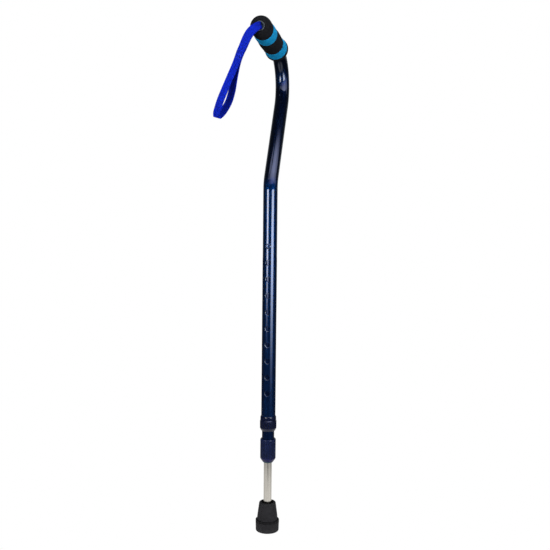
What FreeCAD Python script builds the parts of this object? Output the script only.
import FreeCAD, Part
import math
import os
import Sketcher
from FreeCAD import Vector, Rotation, Placement

# Single point cane: offset handle, telescoping shaft, sprung lower rod.
# Millimetres, +Z up along the straight shaft, origin on the floor at the shaft's
# axis, +X the way the handle's free end points. Front means +X.

doc = FreeCAD.newDocument("cane")

# ---------------------------------------------------------------- dimensions
# Names ending in _r are radii, in _w widths, in _t thicknesses. Names ending in
# _foot, _low, _top or _z are heights, except where a comment says otherwise.
DIMS = [
    # outer tube with a swan neck; tilt and rise are in degrees
    ("tube_r", 11.1), ("tube_bore", 9.85), ("tube_foot", 179.0),
    ("bend_low", 536.9), ("bend_low_r", 38.0), ("neck_tilt", 31.74),
    ("neck_len", 134.98), ("bend_top_r", 52.2), ("handle_rise", 7.1),
    ("handle_len", 118.0),
    ("hole_r", 4.0), ("hole_top", 450.6), ("hole_pitch", 25.4),
    ("hole_count", 10), ("hole_edge", 0.35),
    # inner tube
    ("inner_r", 9.525), ("inner_bore", 8.325), ("inner_foot", 124.0),
    ("inner_top", 476.0), ("slide_gap", 0.06),
    # collar on the outer tube
    ("collar_r", 12.3), ("collar_low", 178.8), ("collar_top", 185.0),
    ("thread_r", 11.5), ("thread_foot", 165.2), ("collet_slot", 1.3), ("collet_slots", 4),
    ("nut_r", 12.9), ("nut_foot", 161.5), ("nut_top", 178.5),
    ("nut_flutes", 24), ("nut_flute_r", 0.9),
    # fluted screw sleeve
    ("sleeve_r", 12.1), ("sleeve_foot", 112.0), ("sleeve_top", 148.6),
    ("sleeve_flutes", 30), ("flute_r", 0.85),
    # sprung lower rod
    ("rod_r", 6.35), ("rod_bore", 5.1), ("rod_foot", 14.0),
    ("rod_top", 143.0), ("guide_top", 139.9),
    ("head_r", 8.1), ("pin_r", 1.25),
    ("spring_r", 6.2), ("wire_r", 0.9), ("spring_foot", 147.95),
    ("spring_len", 54.1), ("spring_pitch", 6.4), ("seat_z", 204.0),
    # rubber tip
    ("tip_r", 18.3), ("tip_top", 46.4), ("tip_step", 18.0),
    ("tip_neck_r", 13.0), ("washer_r", 8.8), ("washer_t", 1.5),
    ("notch_w", 1.5), ("tread_notches", 20),
    # handle grip, stations along the handle from the end of the top bend
    ("grip_start", 0.2), ("rear_band_start", 8.2), ("rear_band_end", 33.0),
    ("front_band_start", 76.6), ("front_band_end", 100.4), ("grip_end", 124.4),
    ("grip_r_tail", 17.6), ("grip_r_rear", 17.5), ("grip_r_rear2", 16.4),
    ("grip_r_mid", 16.3), ("grip_r_front", 16.2), ("grip_r_front2", 15.8),
    ("grip_r_nose", 15.5), ("nose_hole", 8.4), ("seam", 0.9),
    # plug, pin and strap; plug_in, plug_face and the _at names are handle stations
    ("plug_r", 9.8), ("plug_in", 94.0), ("plug_face", 121.6),
    ("strap_w", 12.7), ("strap_t", 1.6), ("layer_gap", 0.2),
    ("slot_tilt", 66.0), ("cross_pin_r", 1.6), ("cross_pin_at", 103.0),
    ("hinge_at", 123.7),
    # snap button and clip; button_top, clip_front and clip_back are reaches from the axis
    ("button_r", 3.9), ("button_top", 12.3), ("clip_t", 0.6), ("clip_w", 7.0),
    ("clip_front", 5.65), ("clip_back", 7.3),
]
SIZE = {name: float(value) for name, value in DIMS}
sheet = doc.addObject("Spreadsheet::Sheet", "dims")
for line, (name, value) in enumerate(DIMS, 1):
    sheet.set("A%d" % line, name)
    sheet.set("B%d" % line, "%g" % value)
    sheet.setAlias("B%d" % line, name)
doc.recompute()


# ---------------------------------------------------------------- helpers
def num(expr):
    """Value of a sum of terms, each a product of dimension names and numbers."""
    total, sign = 0.0, 1.0
    for token in expr.split():
        if token in ("+", "-"):
            sign = 1.0 if token == "+" else -1.0
            continue
        term = 1.0
        for factor in token.split("*"):
            term *= SIZE[factor] if factor in SIZE else float(factor)
        total += sign * term
        sign = 1.0
    return total


def bound(expr):
    """The same sum with the sheet's name put before each bare dimension name."""
    return " ".join(
        "*".join("dims." + factor if factor in SIZE else factor for factor in token.split("*"))
        for token in expr.split())


def new_body(label):
    body = doc.addObject("PartDesign::Body", label + "_body")
    body.Label = label
    return body


def new_sketch(body, name, role):
    """An empty sketch on the body's origin plane of that role."""
    plane = next(f for f in body.Origin.OriginFeatures if f.Role == role)
    sketch = body.newObject("Sketcher::SketchObject", name)
    sketch.AttachmentSupport = [(plane, "")]
    sketch.MapMode = "FlatFace"
    return sketch


def tie(sketch, kind, refs, expr, value=None):
    """Add a dimension bound to the sheet; value is needed where num() can't read expr."""
    if value is None:
        value = num(expr)
    index = sketch.addConstraint(Sketcher.Constraint(kind, *refs, value))
    label = "d%d" % index
    sketch.renameConstraint(index, label)
    sketch.setExpression("Constraints." + label, bound(expr))


def tie_point(sketch, geometry, point, across, up):
    """Fix a point from the sketch's origin; a zero puts it on the axis instead."""
    for kind, expr, axis in (("DistanceX", across, -2), ("DistanceY", up, -1)):
        if abs(num(expr)) < 1e-9:
            sketch.addConstraint(Sketcher.Constraint("PointOnObject", geometry, point, axis))
        else:
            tie(sketch, kind, (-1, 1, geometry, point), expr)


def polygon(sketch, outline):
    """Closed outline whose corners are (across, up), both sums of dimensions."""
    corners = [Vector(num(across), num(up), 0) for across, up in outline]
    count = len(corners)
    sides = [sketch.addGeometry(Part.LineSegment(corners[i], corners[(i + 1) % count]), False)
             for i in range(count)]
    for i in range(count):
        sketch.addConstraint(
            Sketcher.Constraint("Coincident", sides[i], 2, sides[(i + 1) % count], 1))
    for side, (across, up) in zip(sides, outline):
        tie_point(sketch, side, 1, across, up)


def rectangle(sketch, left, right, low, high):
    polygon(sketch, [(left, low), (right, low), (right, high), (left, high)])


def circle(sketch, radius, across="0", up="0"):
    centre = Vector(num(across), num(up), 0)
    ring = sketch.addGeometry(Part.Circle(centre, Vector(0, 0, 1), num(radius)), False)
    tie(sketch, "Radius", (ring,), radius)
    tie_point(sketch, ring, 3, across, up)


def turned(label, outline):
    """A body made by turning a (radius, height) outline once round Z."""
    body = new_body(label)
    sketch = new_sketch(body, label + "_outline", "XZ_Plane")
    polygon(sketch, outline)
    turn = body.newObject("PartDesign::Revolution", label + "_turned")
    turn.Profile = sketch
    turn.ReferenceAxis = (sketch, ["V_Axis"])
    turn.Angle = 360
    doc.recompute()
    return body


def pocket(body, label, sketch, length, side="behind"):
    """Cut behind the sketch, ahead of it along its normal, or half to both sides."""
    doc.recompute()
    before = body.Shape.Volume
    cut = body.newObject("PartDesign::Pocket", label)
    cut.Profile = sketch
    if side == "both":
        cut.Midplane = True
    elif side == "ahead":
        cut.Reversed = True
    cut.setExpression("Length", bound(length))
    doc.recompute()
    if not body.Shape.Volume < before - 1e-3:
        raise RuntimeError(label + " cut nothing")
    return cut


def round_hole(body, label, height, radius, length, role="XZ_Plane", side="both"):
    """A round hole centred on Z, square to the plane; returns its pocket and sketch."""
    sketch = new_sketch(body, label + "_outline", role)
    circle(sketch, radius, up=height)
    return pocket(body, label, sketch, length, side), sketch


def require_open(body, radius, height):
    """Stop unless the front wall just inside this radius is open at this height."""
    if body.Shape.isInside(Vector(radius - 0.5, 0, height), 0.01, True):
        raise RuntimeError("%s: front wall closed at %g" % (body.Label, height))


def pattern(body, label, feature, axis, count):
    """Repeat a feature evenly round a full turn."""
    polar = body.newObject("PartDesign::PolarPattern", label)
    polar.Originals = [feature]
    polar.Axis = axis
    polar.Angle = 360
    polar.setExpression("Occurrences", bound(count))
    body.Tip = polar
    doc.recompute()


def flutes(body, label, rim, radius, low, high, count, depth):
    """Shallow round-bottomed grooves round the outside, parallel to Z."""
    sketch = new_sketch(body, label + "_outline", "XY_Plane")
    sketch.setExpression("AttachmentOffset.Base.z", bound(low))
    circle(sketch, radius, across="%s + %s - %s" % (rim, radius, depth))
    groove = pocket(body, label + "_cut", sketch, "%s - ( %s )" % (high, low), "ahead")
    pattern(body, label, groove, (sketch, ["N_Axis"]), count)


def cross_pin(label, radius, tube_radius, height):
    """A pin along Y through the shaft, ending 0.15 short of the tube's skin each side."""
    pin = doc.addObject("Part::Cylinder", label + "_solid")
    pin.Label = label
    reach = tube_radius + " - 0.15"
    pin.setExpression("Radius", bound(radius))
    pin.setExpression("Height", bound("2*%s - 0.3" % tube_radius))
    pin.setExpression("Placement.Base.y", bound(reach))
    pin.setExpression("Placement.Base.z", bound(height))
    pin.Placement = Placement(Vector(0, num(reach), num(height)), Rotation(Vector(1, 0, 0), 90))


# ---------------------------------------------------------------- tube's mid-line
# Points are (x, z) of the row frame, as the sketch on the XZ plane sees them.
TILT = math.radians(SIZE["neck_tilt"])
RISE = math.radians(SIZE["handle_rise"])
QUARTER = math.pi / 2


def polar(length, angle):
    return Vector(length * math.cos(angle), length * math.sin(angle), 0)


shaft_foot = Vector(0, SIZE["tube_foot"], 0)
shaft_top = Vector(0, SIZE["bend_low"], 0)
low_centre = shaft_top - Vector(SIZE["bend_low_r"], 0, 0)
neck_foot = low_centre + polar(SIZE["bend_low_r"], TILT)
neck_top = neck_foot + polar(SIZE["neck_len"], TILT + QUARTER)
top_centre = neck_top + polar(SIZE["bend_top_r"], TILT)
handle_foot = top_centre + polar(SIZE["bend_top_r"], RISE + QUARTER)
handle_end = handle_foot + polar(SIZE["handle_len"], RISE)

# the handle's axis in space, and turns that stand Z along it
HANDLE_FOOT = Vector(handle_foot.x, 0, handle_foot.y)
HANDLE_RUN = Vector(math.cos(RISE), 0, math.sin(RISE))


def on_axis(station):
    return HANDLE_FOOT + HANDLE_RUN * station


def handle_turn(twist):
    lean = Rotation(Vector(0, 1, 0), 90 - SIZE["handle_rise"])
    return lean.multiply(Rotation(Vector(0, 0, 1), twist))


def on_handle(body, twist=0.0):
    """Stand a body modelled along Z on the handle's axis."""
    body.setExpression(
        "Placement.Base.x",
        "-dims.bend_low_r*(1 - cos(dims.neck_tilt)) - dims.neck_len*sin(dims.neck_tilt)"
        " + dims.bend_top_r*cos(dims.neck_tilt) - dims.bend_top_r*sin(dims.handle_rise)")
    body.setExpression(
        "Placement.Base.z",
        "dims.bend_low + dims.bend_low_r*sin(dims.neck_tilt)"
        " + dims.neck_len*cos(dims.neck_tilt)"
        " + dims.bend_top_r*sin(dims.neck_tilt) + dims.bend_top_r*cos(dims.handle_rise)")
    body.Placement = Placement(HANDLE_FOOT, handle_turn(twist))
    doc.recompute()


# ---------------------------------------------------------------- outer tube
def draw_midline(body):
    """Shaft, low bend, neck, top bend and handle, each tangent to the next."""
    sketch = new_sketch(body, "tube_way", "XZ_Plane")

    def line(start, end):
        return sketch.addGeometry(Part.LineSegment(start, end), False)

    def arc(centre, radius, start, end):
        ring = Part.Circle(centre, Vector(0, 0, 1), radius)
        return sketch.addGeometry(Part.ArcOfCircle(ring, start, end), False)

    shaft = line(shaft_foot, shaft_top)
    low_bend = arc(low_centre, SIZE["bend_low_r"], 0, TILT)
    neck = line(neck_foot, neck_top)
    top_bend = arc(top_centre, SIZE["bend_top_r"], QUARTER + RISE, math.pi + TILT)
    handle = line(handle_foot, handle_end)
    for rule in (("PointOnObject", shaft, 1, -2), ("Vertical", shaft),
                 ("Tangent", shaft, 2, low_bend, 1), ("Tangent", low_bend, 2, neck, 1),
                 ("Tangent", neck, 2, top_bend, 2), ("Tangent", top_bend, 1, handle, 1)):
        sketch.addConstraint(Sketcher.Constraint(*rule))
    tie(sketch, "DistanceY", (-1, 1, shaft, 1), "tube_foot")
    tie(sketch, "DistanceY", (-1, 1, shaft, 2), "bend_low")
    tie(sketch, "Radius", (low_bend,), "bend_low_r")
    tie(sketch, "Radius", (top_bend,), "bend_top_r")
    tie(sketch, "Distance", (neck,), "neck_len")
    tie(sketch, "Distance", (handle,), "handle_len")
    tie(sketch, "DistanceX", (neck, 2, neck, 1), "dims.neck_len*sin(dims.neck_tilt)",
        SIZE["neck_len"] * math.sin(TILT))
    tie(sketch, "DistanceY", (handle, 1, handle, 2), "dims.handle_len*sin(dims.handle_rise)",
        SIZE["handle_len"] * math.sin(RISE))
    doc.recompute()
    return sketch


def is_hole_rim(edge):
    """Pick the adjusting holes' edges on the tube's outer skin."""
    if len(edge.Vertexes) > 2:
        return False
    box = edge.BoundBox
    across = 2 * SIZE["hole_r"]
    return (box.XMin > SIZE["tube_r"] - 1.5 and box.XMax > SIZE["tube_r"] - 0.05
            and abs(box.YLength - across) < 0.2 and abs(box.ZLength - across) < 0.2)


outer = new_body("outer_tube")
midline = draw_midline(outer)
section = new_sketch(outer, "tube_section", "XY_Plane")
section.AttachmentOffset = Placement(
    Vector(0, 0, SIZE["tube_foot"]), Rotation(Vector(0, 0, 1), 90))
section.setExpression("AttachmentOffset.Base.z", "dims.tube_foot")
circle(section, "tube_r")
circle(section, "tube_bore")
doc.recompute()
pipe = outer.newObject("PartDesign::AdditivePipe", "tube_pipe")
pipe.Profile = section
pipe.Spine = (midline, ["Edge1", "Edge2", "Edge3", "Edge4", "Edge5"])
doc.recompute()

# adjusting holes through the front wall, from the top one down
top_hole, hole_sketch = round_hole(
    outer, "top_hole", "hole_top", "hole_r", "tube_r*1.5", "YZ_Plane", "ahead")
require_open(outer, SIZE["tube_r"], SIZE["hole_top"])
row = outer.newObject("PartDesign::LinearPattern", "hole_row")
row.Originals = [top_hole]
row.Direction = (hole_sketch, ["V_Axis"])
row.Reversed = True
row.setExpression("Length", "dims.hole_pitch*(dims.hole_count - 1)")
row.setExpression("Occurrences", "dims.hole_count")
outer.Tip = row
doc.recompute()
require_open(outer, SIZE["tube_r"],
             SIZE["hole_top"] - (SIZE["hole_count"] - 1) * SIZE["hole_pitch"])

# bevelled rims of the holes, on the outer skin only
rims = outer.newObject("PartDesign::Chamfer", "hole_rims")
rims.Base = (row, ["Edge%d" % i for i, edge in enumerate(row.Shape.Edges, 1)
                   if is_hole_rim(edge)])
rims.setExpression("Size", "dims.hole_edge")
outer.Tip = rims
doc.recompute()

# ---------------------------------------------------------------- grip
# Segments round the tube's handle end; each outline is (radius, station).
GRIP = {
    "grip_tail": [
        ("tube_r", "grip_start"), ("grip_r_tail - 3", "grip_start"),
        ("grip_r_tail - 1.3", "grip_start + 0.6"), ("grip_r_tail - 0.3", "grip_start + 2"),
        ("grip_r_tail", "grip_start + 4"), ("grip_r_tail", "rear_band_start - 2.4"),
        ("grip_r_tail - 0.3", "rear_band_start - 0.7"),
        ("grip_r_tail - seam", "rear_band_start"), ("tube_r", "rear_band_start")],
    "grip_band_rear": [
        ("tube_r", "rear_band_start"), ("grip_r_rear - seam", "rear_band_start"),
        ("grip_r_rear - 0.2", "rear_band_start + 0.8"),
        ("grip_r_rear", "rear_band_start + 2.6"),
        ("grip_r_rear - 0.5", "rear_band_start + 11"),
        ("grip_r_rear2 + 0.1", "rear_band_end - 4"),
        ("grip_r_rear2 - 0.2", "rear_band_end - 0.8"),
        ("grip_r_rear2 - seam", "rear_band_end"), ("tube_r", "rear_band_end")],
    "grip_middle": [
        ("tube_r", "rear_band_end"), ("grip_r_mid - seam", "rear_band_end"),
        ("grip_r_mid - 0.2", "rear_band_end + 0.9"), ("grip_r_mid", "rear_band_end + 4"),
        ("grip_r_mid + 0.1", "front_band_start - 18"),
        ("grip_r_front", "front_band_start - 4"),
        ("grip_r_front - 0.2", "front_band_start - 0.9"),
        ("grip_r_front - seam", "front_band_start"), ("tube_r", "front_band_start")],
    "grip_band_front": [
        ("tube_r", "front_band_start"), ("grip_r_front - seam", "front_band_start"),
        ("grip_r_front - 0.2", "front_band_start + 0.8"),
        ("grip_r_front + 0.1", "front_band_start + 4"),
        ("grip_r_front", "front_band_end - 12"), ("grip_r_front2", "front_band_end - 3"),
        ("grip_r_front2 - 0.3", "front_band_end - 0.8"),
        ("grip_r_front2 - seam", "front_band_end"), ("tube_r", "front_band_end")],
    "grip_nose": [
        ("tube_r", "front_band_end"), ("grip_r_nose - seam", "front_band_end"),
        ("grip_r_nose - 0.1", "front_band_end + 0.9"),
        ("grip_r_nose + 0.2", "front_band_end + 5"),
        ("grip_r_nose + 0.1", "grip_end - 11"), ("grip_r_nose - 0.3", "grip_end - 8"),
        ("grip_r_nose - 1.1", "grip_end - 5"), ("grip_r_nose - 2.4", "grip_end - 2.6"),
        ("grip_r_nose - 3.9", "grip_end - 1"), ("grip_r_nose - 5.3", "grip_end - 0.2"),
        ("nose_hole + 0.7", "grip_end"), ("nose_hole", "grip_end - 0.6"),
        ("nose_hole", "handle_len"), ("tube_r", "handle_len")],
}
for label, outline in GRIP.items():
    on_handle(turned(label, outline))

# ---------------------------------------------------------------- end plug, strap pin
plug = turned("end_plug", [
    ("0", "plug_in"), ("plug_r - 1.5", "plug_in"), ("plug_r", "plug_in + 2"),
    ("plug_r", "handle_len"), ("nose_hole", "handle_len"), ("nose_hole", "plug_face - 0.8"),
    ("nose_hole - 0.8", "plug_face"), ("0", "plug_face")])
# slot for both layers of the strap, 0.3 clear on the flats and 0.35 at the edges
slot = new_sketch(plug, "strap_slot_outline", "XY_Plane")
slot.setExpression("AttachmentOffset.Base.z", "dims.plug_face")
rectangle(slot, "0 - strap_t - 0.5*layer_gap - 0.3", "strap_t + 0.5*layer_gap + 0.3",
          "0 - 0.5*strap_w - 0.35", "0.5*strap_w + 0.35")
pocket(plug, "strap_slot", slot, "plug_face - cross_pin_at - 2")
# chamber round the strap pin, where the strap turns back on itself
round_hole(plug, "pin_chamber", "cross_pin_at", "cross_pin_r + strap_t + 1.4",
           "strap_w + 0.7")
round_hole(plug, "cross_hole", "cross_pin_at", "cross_pin_r", "plug_r*3")
on_handle(plug, -SIZE["slot_tilt"])

PLUG_TURN = handle_turn(-SIZE["slot_tilt"])
STRAP_WIDTH = PLUG_TURN.multVec(Vector(0, 1, 0))  # the way the slot's long side runs
PIN_CENTRE = on_axis(SIZE["cross_pin_at"])

strap_pin = doc.addObject("Part::Cylinder", "strap_pin_solid")
strap_pin.Label = "strap_pin"
strap_pin.setExpression("Radius", "dims.cross_pin_r")
strap_pin.setExpression("Height", "2*dims.plug_r - 1.2")
strap_pin.Placement = Placement(PIN_CENTRE - STRAP_WIDTH * (SIZE["plug_r"] - 0.6),
                                PLUG_TURN.multiply(Rotation(Vector(1, 0, 0), -90)))
doc.recompute()


# ---------------------------------------------------------------- strap
def add_band(label, stations):
    """Flat band lofted through (centre, rough width direction, run direction)."""
    half_width, half_thick = SIZE["strap_w"] / 2, SIZE["strap_t"] / 2
    sections = []
    for centre, width, run in stations:
        width = width - run * width.dot(run)  # squared to the band's own run
        width.normalize()
        normal = width.cross(run)
        normal.normalize()
        out = width * half_width
        up = normal * half_thick
        first = centre + out + up
        sections.append(Part.makePolygon(
            [first, centre - out + up, centre - out - up, centre + out - up, first]))
    solid = Part.makeLoft(sections, True, True)
    if solid.Volume < 0:  # the loft may come out with its faces turned inward
        solid.reverse()
    feature = doc.addObject("Part::Feature", label + "_solid")
    feature.Label = label
    feature.Shape = solid


# Mid-line between the hanging loop's two layers, from the plug's mouth down:
# x, y, z, turn of the width about the mid-line (degrees), gap between layer centres.
HINGE = on_axis(SIZE["hinge_at"])
CLOSED_GAP = SIZE["strap_t"] + SIZE["layer_gap"]
LOOP_MIDLINE = [
    (HINGE.x, HINGE.y, HINGE.z, 0, CLOSED_GAP),
    (HINGE.x + 3.6, -0.8, HINGE.z - 0.2, 0, CLOSED_GAP),
    (90.0, -3.0, 763.3, 0, CLOSED_GAP),
    (92.4, -7.6, 758.9, 2, CLOSED_GAP),
    (94.0, -12.3, 752.8, 4, CLOSED_GAP),
    (95.2, -16.3, 745.1, 5, CLOSED_GAP),
    (95.9, -20.7, 734.6, 7, CLOSED_GAP),
    (95.9, -24.7, 726.3, 10, CLOSED_GAP),
    (95.5, -27.8, 718.4, 12, CLOSED_GAP + 0.1),
    (94.5, -31.8, 707.6, 12, 3.7),
    (93.5, -37.1, 692.0, 12, 9.3),
    (92.4, -42.3, 675.8, 12, 15.7),
    (92.0, -47.6, 661.7, 12, 18.8),
    (91.6, -53.4, 649.4, 12, 15.0),
    (91.5, -57.5, 641.9, 13, 9.0),
    (91.8, -59.3, 636.8, 14, 0.0),
]
LAST = len(LOOP_MIDLINE) - 1


def midline_at(place):
    """Catmull-Rom value of the table's columns at a fractional row number."""
    i = min(int(place), LAST - 1)
    f = place - i
    rows = (LOOP_MIDLINE[max(i - 1, 0)], LOOP_MIDLINE[i],
            LOOP_MIDLINE[i + 1], LOOP_MIDLINE[min(i + 2, LAST)])
    return [0.5 * (2 * b + (c - a) * f + (2 * a - 5 * b + 4 * c - d) * f ** 2
                   + (3 * b - a - 3 * c + d) * f ** 3)
            for a, b, c, d in zip(*rows)]


def loop_frame(place, step=0.02):
    """Centre, width direction, layer direction and gap at a place on the mid-line."""
    x, y, z, turn, gap = midline_at(place)
    before = Vector(*midline_at(max(place - step, 0))[:3])
    after = Vector(*midline_at(min(place + step, LAST))[:3])
    run = after - before
    run.normalize()
    # with no turn the width is the slot's own direction made square to the run
    flat = STRAP_WIDTH - run * STRAP_WIDTH.dot(run)
    flat.normalize()
    angle = math.radians(turn)
    width = flat * math.cos(angle) + run.cross(flat) * math.sin(angle)
    normal = width.cross(run)
    normal.normalize()
    return Vector(x, y, z), width, normal, gap


# down one layer, round the lowest point and up the other
down, up = [], []
for j in range(2 * LAST):
    centre, width, normal, gap = loop_frame(j * 0.5)
    down.append((centre + normal * (gap / 2), width))
    up.append((centre - normal * (gap / 2), width))
lowest = loop_frame(LAST)[:2]
loop_path = down + [lowest] + up[::-1]
loop_stations = [loop_path[0] + (HANDLE_RUN,)]
for j in range(1, len(loop_path) - 1):
    run = loop_path[j + 1][0] - loop_path[j - 1][0]
    run.normalize()
    loop_stations.append(loop_path[j] + (run,))
loop_stations.append(loop_path[-1] + (HANDLE_RUN * -1,))
add_band("strap_loop", loop_stations)

# the strap's fixed turn round the strap pin, inside the plug
LAYER_WAY = STRAP_WIDTH.cross(HANDLE_RUN)
layer_shift = LAYER_WAY * (CLOSED_GAP / 2)
turn_r = SIZE["cross_pin_r"] + SIZE["strap_t"] / 2 + 0.05
anchor_mouth = SIZE["hinge_at"] - 1.95
straight_len = anchor_mouth - SIZE["cross_pin_at"] - 5.0
straight = [on_axis(anchor_mouth - straight_len * j / 3) for j in range(4)]
anchor_stations = [(point + layer_shift, STRAP_WIDTH, HANDLE_RUN * -1) for point in straight]
for degrees in range(55, 306, 25):
    angle = math.radians(degrees)
    outward = HANDLE_RUN * math.cos(angle) + LAYER_WAY * math.sin(angle)
    run = LAYER_WAY * math.cos(angle) - HANDLE_RUN * math.sin(angle)
    anchor_stations.append((PIN_CENTRE + outward * turn_r, STRAP_WIDTH, run))
anchor_stations += [(point - layer_shift, STRAP_WIDTH, HANDLE_RUN) for point in straight[::-1]]
add_band("strap_anchor", anchor_stations)
doc.recompute()

# ---------------------------------------------------------------- collar on the outer tube
bush = turned("collar_bush", [
    ("inner_r + slide_gap", "thread_foot + 0.8"), ("inner_r + slide_gap + 0.6", "thread_foot"),
    ("thread_r - 1", "thread_foot"), ("thread_r", "thread_foot + 1.4"),
    ("thread_r", "collar_low"), ("collar_r - 0.7", "collar_low"),
    ("collar_r", "collar_low + 0.7"), ("collar_r", "collar_top - 1.6"),
    ("collar_r - 0.5", "collar_top - 0.5"), ("collar_r - 1", "collar_top"),
    ("tube_r", "collar_top"), ("tube_r", "tube_foot"), ("inner_r + slide_gap", "tube_foot")])
slit = new_sketch(bush, "collet_slot_outline", "XZ_Plane")
rectangle(slit, "0 - 0.5*collet_slot", "0.5*collet_slot", "thread_foot - 1", "collar_low - 3")
slit_cut = pocket(bush, "collet_slot_cut", slit, "thread_r + 2")
pattern(bush, "collet_slot_ring", slit_cut, (slit, ["V_Axis"]), "collet_slots")

nut = turned("collar_nut", [
    ("inner_r + 0.25", "nut_foot"), ("nut_r - 2.4", "nut_foot"),
    ("nut_r - 1.9", "nut_foot + 0.5"), ("nut_r - 0.5", "nut_foot + 3.2"),
    ("nut_r", "nut_foot + 4.6"), ("nut_r", "nut_top - 0.9"), ("nut_r - 0.9", "nut_top"),
    ("thread_r + 0.06", "nut_top"), ("thread_r + 0.06", "thread_foot - 0.6"),
    ("inner_r + 0.25", "thread_foot - 2")])
flutes(nut, "nut_flutes_ring", rim="nut_r", radius="nut_flute_r", low="nut_foot + 4.6",
       high="nut_top - 2.2", count="nut_flutes", depth="0.22")

# ---------------------------------------------------------------- inner tube and its fittings
inner = turned("inner_tube", [
    ("inner_bore", "inner_foot"), ("inner_r", "inner_foot"),
    ("inner_r", "inner_top"), ("inner_bore", "inner_top")])
round_hole(inner, "button_hole", "hole_top", "hole_r", "inner_r*1.5", "YZ_Plane", "ahead")
require_open(inner, SIZE["inner_r"], SIZE["hole_top"])
round_hole(inner, "seat_pin_hole", "seat_z + 4", "cross_pin_r", "inner_r*3")

turned("top_bushing", [
    ("5", "inner_top - 6"), ("inner_bore - 0.6", "inner_top - 6"),
    ("inner_bore", "inner_top - 5.2"), ("inner_bore", "inner_top"),
    ("tube_bore - 0.05", "inner_top"), ("tube_bore - 0.05", "inner_top + 3.2"),
    ("tube_bore - 0.8", "inner_top + 4"), ("5", "inner_top + 4")])

seat = turned("spring_seat", [
    ("0", "seat_z - 5"), ("spring_r - wire_r - 0.6", "seat_z - 5"),
    ("spring_r - wire_r - 0.3", "seat_z - 4.4"), ("spring_r - wire_r - 0.3", "seat_z - 1"),
    ("inner_bore", "seat_z - 1"), ("inner_bore", "seat_z + 8"), ("0", "seat_z + 8")])
round_hole(seat, "seat_pin_way", "seat_z + 4", "cross_pin_r", "inner_r*3")
cross_pin("seat_pin", "cross_pin_r", "inner_r", "seat_z + 4")

turned("guide_bushing", [
    ("rod_r + 0.06", "inner_foot - 2.4"), ("inner_r - 0.1", "inner_foot - 2.4"),
    ("inner_r - 0.1", "inner_foot"), ("inner_bore", "inner_foot"),
    ("inner_bore", "guide_top - 0.5"), ("inner_bore - 0.5", "guide_top"),
    ("rod_r + 0.06", "guide_top")])

# ---------------------------------------------------------------- snap button
# turned round Z, then laid along +X through the top hole
button = turned("snap_button", [
    ("0", "5.7"), ("button_r + 0.9", "5.7"), ("button_r + 0.9", "6.5"), ("button_r", "6.5"),
    ("button_r", "button_top - 1.6"), ("button_r - 0.35", "button_top - 0.8"),
    ("button_r - 1.2", "button_top - 0.2"), ("button_r - 2.4", "button_top"),
    ("0", "button_top")])
button.setExpression("Placement.Base.z", "dims.hole_top")
button.Placement = Placement(Vector(0, 0, SIZE["hole_top"]), Rotation(Vector(0, 1, 0), 90))
doc.recompute()


# ---------------------------------------------------------------- clip spring
def clip_outline(body):
    """An upside-down U of strip, behind the button and across to the back wall."""
    sketch = new_sketch(body, "clip_outline", "XZ_Plane")
    foot, shoulder = "hole_top - 12", "hole_top + 11.5"
    outer_bend = "0.5*clip_front + 0.5*clip_back"
    low, high = num(foot), num(shoulder)
    front, back, thick = SIZE["clip_front"], -SIZE["clip_back"], SIZE["clip_t"]
    centre = Vector((front + back) / 2, high, 0)

    def line(x_start, z_start, x_end, z_end):
        segment = Part.LineSegment(Vector(x_start, z_start, 0), Vector(x_end, z_end, 0))
        return sketch.addGeometry(segment, False)

    def half_ring(radius):
        ring = Part.Circle(centre, Vector(0, 0, 1), radius)
        return sketch.addGeometry(Part.ArcOfCircle(ring, 0, math.pi), False)

    front_skin = line(front, low, front, high)
    top_skin = half_ring(num(outer_bend))
    back_skin = line(back, high, back, low)
    back_end = line(back, low, back + thick, low)
    back_lining = line(back + thick, low, back + thick, high)
    top_lining = half_ring(num(outer_bend) - thick)
    front_lining = line(front - thick, high, front - thick, low)
    front_end = line(front - thick, low, front, low)
    for rule in (("Tangent", front_skin, 2, top_skin, 1),
                 ("Tangent", top_skin, 2, back_skin, 1),
                 ("Coincident", back_skin, 2, back_end, 1),
                 ("Coincident", back_end, 2, back_lining, 1),
                 ("Tangent", back_lining, 2, top_lining, 2),
                 ("Tangent", top_lining, 1, front_lining, 1),
                 ("Coincident", front_lining, 2, front_end, 1),
                 ("Coincident", front_end, 2, front_skin, 1),
                 ("Vertical", front_skin), ("Horizontal", front_end),
                 ("Horizontal", back_end), ("Coincident", top_skin, 3, top_lining, 3)):
        sketch.addConstraint(Sketcher.Constraint(*rule))
    tie(sketch, "DistanceX", (-1, 1, front_skin, 1), "clip_front")
    tie(sketch, "Radius", (top_skin,), outer_bend)
    tie(sketch, "DistanceX", (front_end, 1, front_end, 2), "clip_t")
    tie(sketch, "DistanceY", (-1, 1, front_skin, 1), foot)
    tie(sketch, "DistanceY", (-1, 1, front_skin, 2), shoulder)
    return sketch


clip = new_body("clip_spring")
strip = clip_outline(clip)
clip_pad = clip.newObject("PartDesign::Pad", "clip_strip")
clip_pad.Profile = strip
clip_pad.Midplane = True
clip_pad.setExpression("Length", "dims.clip_w")
doc.recompute()

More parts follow.
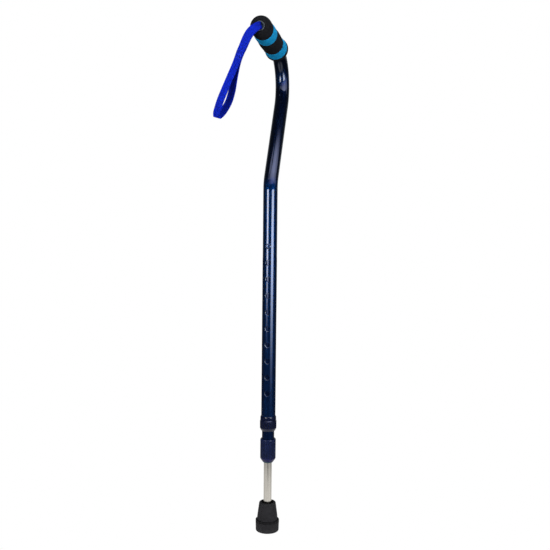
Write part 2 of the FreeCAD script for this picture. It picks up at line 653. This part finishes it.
# ---------------------------------------------------------------- fluted sleeve and its seal
sleeve = turned("fluted_sleeve", [
    ("rod_r + 0.35", "sleeve_foot"), ("sleeve_r - 4.2", "sleeve_foot"),
    ("sleeve_r - 3", "sleeve_foot + 0.6"), ("sleeve_r - 0.9", "sleeve_foot + 3.6"),
    ("sleeve_r", "sleeve_foot + 5.4"), ("sleeve_r", "sleeve_top - 1.6"),
    ("sleeve_r - 0.4", "sleeve_top - 0.5"), ("sleeve_r - 1", "sleeve_top"),
    ("inner_r + 0.8", "sleeve_top"), ("inner_r + slide_gap", "sleeve_top - 1.2"),
    ("inner_r + slide_gap", "inner_foot - 2.6"), ("rod_r + 1.9", "inner_foot - 2.6"),
    ("rod_r + 1.9", "sleeve_foot + 4.6"), ("rod_r + 2.4", "sleeve_foot + 4.6"),
    ("rod_r + 2.4", "sleeve_foot + 2.2"), ("rod_r + 0.35", "sleeve_foot + 2.2")])
flutes(sleeve, "sleeve_flutes_ring", rim="sleeve_r", radius="flute_r",
       low="sleeve_foot + 6.6", high="sleeve_top - 2.6", count="sleeve_flutes", depth="0.34")
turned("wiper_seal", [
    ("rod_r + 0.05", "sleeve_foot + 2.9"), ("rod_r + 0.9", "sleeve_foot + 2.2"),
    ("rod_r + 2.4", "sleeve_foot + 2.2"), ("rod_r + 2.4", "sleeve_foot + 4.6"),
    ("rod_r + 0.9", "sleeve_foot + 4.6"), ("rod_r + 0.05", "sleeve_foot + 3.9")])

# ---------------------------------------------------------------- sprung rod
rod = turned("plunger_rod", [
    ("rod_bore", "rod_foot"), ("rod_r - 0.5", "rod_foot"), ("rod_r", "rod_foot + 0.5"),
    ("rod_r", "rod_top"), ("rod_bore", "rod_top")])
round_hole(rod, "head_pin_hole", "rod_top - 7", "pin_r", "rod_r*3")
head = turned("plunger_head", [
    ("0", "rod_top - 14"), ("rod_bore - 0.6", "rod_top - 14"), ("rod_bore", "rod_top - 13.4"),
    ("rod_bore", "rod_top"), ("head_r - 0.3", "rod_top"), ("head_r", "rod_top + 0.3"),
    ("head_r", "rod_top + 3.7"), ("head_r - 0.3", "rod_top + 4"),
    ("spring_r - wire_r - 0.3", "rod_top + 4"), ("spring_r - wire_r - 0.3", "rod_top + 9"),
    ("spring_r - wire_r - 1", "rod_top + 10"), ("0", "rod_top + 10")])
round_hole(head, "head_pin_way", "rod_top - 7", "pin_r", "rod_r*3")
cross_pin("head_pin", "pin_r", "rod_r", "rod_top - 7")
turned("rebound_washer", [
    ("rod_r", "rod_top - 3"), ("head_r - 0.4", "rod_top - 3"), ("head_r", "rod_top - 2.6"),
    ("head_r", "rod_top - 0.4"), ("head_r - 0.4", "rod_top"), ("rod_r", "rod_top")])

# ---------------------------------------------------------------- shock spring
helix = doc.addObject("Part::Helix", "spring_line")
helix.setExpression("Pitch", "dims.spring_pitch")
helix.setExpression("Height", "dims.spring_len - 2*dims.wire_r")
helix.setExpression("Radius", "dims.spring_r")
wire = doc.addObject("Part::Circle", "spring_wire")
wire.setExpression("Radius", "dims.wire_r")
wire.Placement = Placement(Vector(SIZE["spring_r"], 0, 0), Rotation(Vector(1, 0, 0), 90))
wire.setExpression("Placement.Base.x", "dims.spring_r")
doc.recompute()
coil = doc.addObject("Part::Sweep", "shock_spring_solid")
coil.Label = "shock_spring"
coil.Sections = [wire]
coil.Spine = (helix, ["Edge%d" % (i + 1) for i in range(len(helix.Shape.Edges))])
coil.Solid = True
coil.Frenet = True
coil.setExpression("Placement.Base.z", "dims.spring_foot + dims.wire_r")
doc.recompute()

# ---------------------------------------------------------------- rubber tip and its washer
tip = turned("rubber_tip", [
    # grooved underside
    ("0", "0"), ("3.6", "0"), ("4", "1.4"), ("6", "1.4"), ("6.4", "0"), ("9.4", "0"),
    ("9.8", "1.4"), ("11.8", "1.4"), ("12.2", "0"),
    # foot and its step
    ("tip_r - 1.4", "0"), ("tip_r - 0.5", "0.5"), ("tip_r - 0.1", "1.6"), ("tip_r", "7"),
    ("tip_r + 0.35", "tip_step - 1.4"), ("tip_r + 0.2", "tip_step - 0.4"),
    ("tip_r - 0.4", "tip_step"), ("tip_r - 1.0", "tip_step - 0.4"),
    ("tip_r - 1.3", "tip_step - 2.2"), ("tip_r - 2.1", "tip_step - 2.2"),
    ("tip_r - 1.9", "tip_step + 0.6"),
    # tapering neck and rounded top
    ("tip_neck_r + 2.9", "23.5"), ("tip_neck_r + 2.5", "26.4"), ("tip_neck_r + 1.96", "31"),
    ("tip_neck_r + 1.3", "36"), ("tip_neck_r + 0.6", "40.6"),
    ("tip_neck_r + 0.2", "tip_top - 3"), ("tip_neck_r - 0.3", "tip_top - 1.3"),
    ("tip_neck_r - 1.2", "tip_top - 0.3"), ("tip_neck_r - 2.2", "tip_top"),
    ("tip_neck_r - 3.6", "tip_top - 0.5"), ("rod_r + 1.6", "tip_top - 2.4"),
    ("rod_r + 0.7", "tip_top - 3.6"),
    # socket for the rod and recess for the washer
    ("rod_r", "tip_top - 4.2"), ("rod_r", "rod_foot"), ("washer_r", "rod_foot"),
    ("washer_r", "rod_foot - washer_t"), ("0", "rod_foot - washer_t")])
notch = new_sketch(tip, "tread_notch_outline", "XZ_Plane")
rectangle(notch, "tip_r - 5.3", "tip_r - 2.1", "0 - 1", "1.4")
notch_cut = pocket(tip, "tread_notch", notch, "notch_w", "both")
pattern(tip, "tread_notch_ring", notch_cut, (notch, ["V_Axis"]), "tread_notches")

turned("tip_washer", [
    ("0", "rod_foot - washer_t"), ("washer_r", "rod_foot - washer_t"),
    ("washer_r", "rod_foot"), ("0", "rod_foot")])

# ---------------------------------------------------------------- check and write
doc.recompute()
NODES = ["outer_tube", "grip_tail", "grip_band_rear", "grip_middle", "grip_band_front",
         "grip_nose", "end_plug", "strap_pin", "strap_anchor", "strap_loop", "collar_bush",
         "collar_nut", "inner_tube", "top_bushing", "clip_spring", "snap_button",
         "spring_seat", "seat_pin", "guide_bushing", "fluted_sleeve", "wiper_seal",
         "plunger_rod", "plunger_head", "head_pin", "rebound_washer", "shock_spring",
         "rubber_tip", "tip_washer"]
bad = [o.Name for o in doc.Objects if "Invalid" in o.State or "Error" in o.State]
if bad:
    raise RuntimeError("failed objects: " + ", ".join(bad))
shapes = {o.Label: o.Shape for o in doc.Objects if o.Label in NODES}
for name in NODES:
    shape = shapes[name]
    if shape.isNull() or not shape.isValid() or len(shape.Solids) != 1:
        raise RuntimeError("%s: null, invalid or not one solid" % name)
os.makedirs("parts", exist_ok=True)
for name in NODES:
    shapes[name].exportStep("parts/%s.step" % name)
